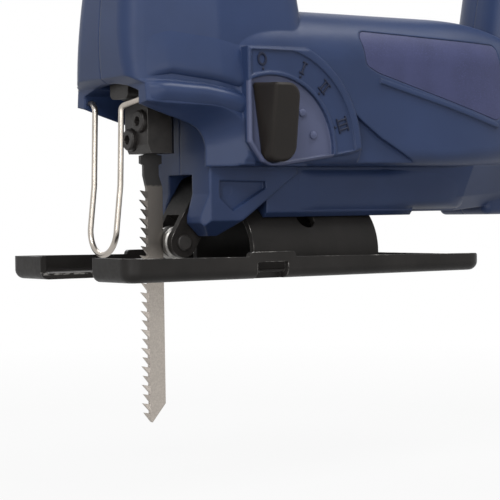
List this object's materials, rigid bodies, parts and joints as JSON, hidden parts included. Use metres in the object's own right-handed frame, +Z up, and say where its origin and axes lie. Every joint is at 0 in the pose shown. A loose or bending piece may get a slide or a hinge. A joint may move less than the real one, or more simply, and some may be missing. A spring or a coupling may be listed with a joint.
{
  "type": "orbital jigsaw",
  "caption": "Corded orbital jigsaw: tilting pressed base plate, reciprocating blade in a screw clamp, guide roller on a swinging fork, orbit selector and D-handle with trigger.",
  "frame": {"origin": "where the blade's line crosses the underside of the base plate, on the tool's mid-plane", "axes": "+X to the rear of the tool, +Y to its right, +Z up along the plunger"},
  "size_m": [0.2121, 0.0789, 0.2199],
  "materials": {
    "housing": "dark blue satin moulded plastic",
    "grip": "black soft grip",
    "panel": "grained violet-grey trim",
    "black_plastic": "black moulded plastic",
    "black_paint": "black satin paint on pressed steel",
    "steel": "machined steel",
    "dark_steel": "blackened steel",
    "wire": "bright drawn wire",
    "blade": "ground tool steel",
    "bronze": "sintered bronze",
    "copper": "enamelled copper",
    "aluminium": "die-cast aluminium",
    "laminations": "stacked sheet laminations",
    "carbon": "carbon",
    "fan_plastic": "glass-filled plastic",
    "gland": "black rubber"
  },
  "bodies": {
    "housing": {"housing_left": "housing", "housing_right": "housing", "housing_screws": "dark_steel", "grip_sleeve": "grip", "side_panel_left": "panel", "side_panel_right": "panel", "cord_gland": "gland", "switch_body": "black_plastic", "stator_core": "laminations", "field_coils": "copper", "front_bearing": "steel", "rear_bearing": "steel", "brush_holders": "bronze", "carbon_brushes": "carbon", "gear_plate": "aluminium", "gear_axle": "steel", "lever_pin": "steel", "base_screw": "dark_steel", "base_saddle": "steel", "nut_plate": "steel"},
    "base": {"base_plate": "black_paint", "tilt_bracket": "black_paint", "bracket_rivets": "steel"},
    "guide": {"plunger_guide": "steel", "guide_bushes": "bronze"},
    "plunger": {"plunger_rod": "steel", "blade_clamp": "dark_steel", "clamp_screws": "dark_steel", "saw_blade": "blade"},
    "armature": {"armature_shaft": "steel", "armature_core": "laminations", "armature_coils": "copper", "commutator": "copper", "fan": "fan_plastic"},
    "gear": {"drive_gear": "steel", "gear_bush": "bronze", "crank_pin": "steel"},
    "lever": {"roller_fork": "steel", "roller_pin": "steel"},
    "roller": {"guide_roller": "steel"},
    "selector": {"selector_knob": "black_plastic", "selector_shaft": "steel"},
    "trigger": {"trigger": "black_plastic"},
    "lock_button": {"lock_button": "black_plastic"},
    "guard": {"wire_guard": "wire"}
  },
  "joints": [
    {"name": "base_tilt", "type": "hinge", "parent": "housing", "child": "base", "pos_m": [0.054, 0, 0.007], "axis": [1, 0, 0], "range_deg": [-45, 45]},
    {"name": "guide_swing", "type": "hinge", "parent": "housing", "child": "guide", "pos_m": [0, 0, 0.1016], "axis": [0, 1, 0], "range_deg": [0, 1.5], "stiffness_Nm_per_rad": 6, "springref_deg": -1.72},
    {"name": "plunger_slide", "type": "slide", "parent": "guide", "child": "plunger", "axis": [0, 0, 1], "range_m": [-0.018, 0]},
    {"name": "armature_spin", "type": "hinge", "parent": "housing", "child": "armature", "pos_m": [0.06, 0, 0.056], "axis": [1, 0, 0], "continuous": true},
    {"name": "gear_spin", "type": "hinge", "parent": "housing", "child": "gear", "pos_m": [0.018, 0, 0.0804], "axis": [1, 0, 0], "continuous": true},
    {"name": "lever_swing", "type": "hinge", "parent": "housing", "child": "lever", "pos_m": [0.019, 0, 0.028], "axis": [0, 1, 0], "range_deg": [0, 8.25]},
    {"name": "roller_spin", "type": "hinge", "parent": "lever", "child": "roller", "pos_m": [0.0087, 0, 0.0113], "axis": [0, 1, 0], "continuous": true},
    {"name": "selector_turn", "type": "hinge", "parent": "housing", "child": "selector", "pos_m": [0.0275, -0.03, 0.0405], "axis": [0, 1, 0], "range_deg": [0, 80]},
    {"name": "trigger_pull", "type": "hinge", "parent": "housing", "child": "trigger", "pos_m": [0.06821, 0, 0.13815], "axis": [0, -1, 0], "range_deg": [0, 8], "stiffness_Nm_per_rad": 0.6, "springref_deg": -4.58},
    {"name": "lock_press", "type": "slide", "parent": "housing", "child": "lock_button", "axis": [0, 1, 0], "range_m": [0, 0.0026], "stiffness_N_per_m": 600, "springref_m": -0.001},
    {"name": "guard_swing", "type": "hinge", "parent": "housing", "child": "guard", "pos_m": [-0.0123, 0, 0.057], "axis": [0, 1, 0], "range_deg": [0, 75]}
  ],
  "couplings": [
    {"joint": "gear_spin", "follows": "armature_spin", "ratio": -0.17308},
    {"joint": "lever_swing", "follows": "guide_swing", "ratio": 5.5}
  ]
}
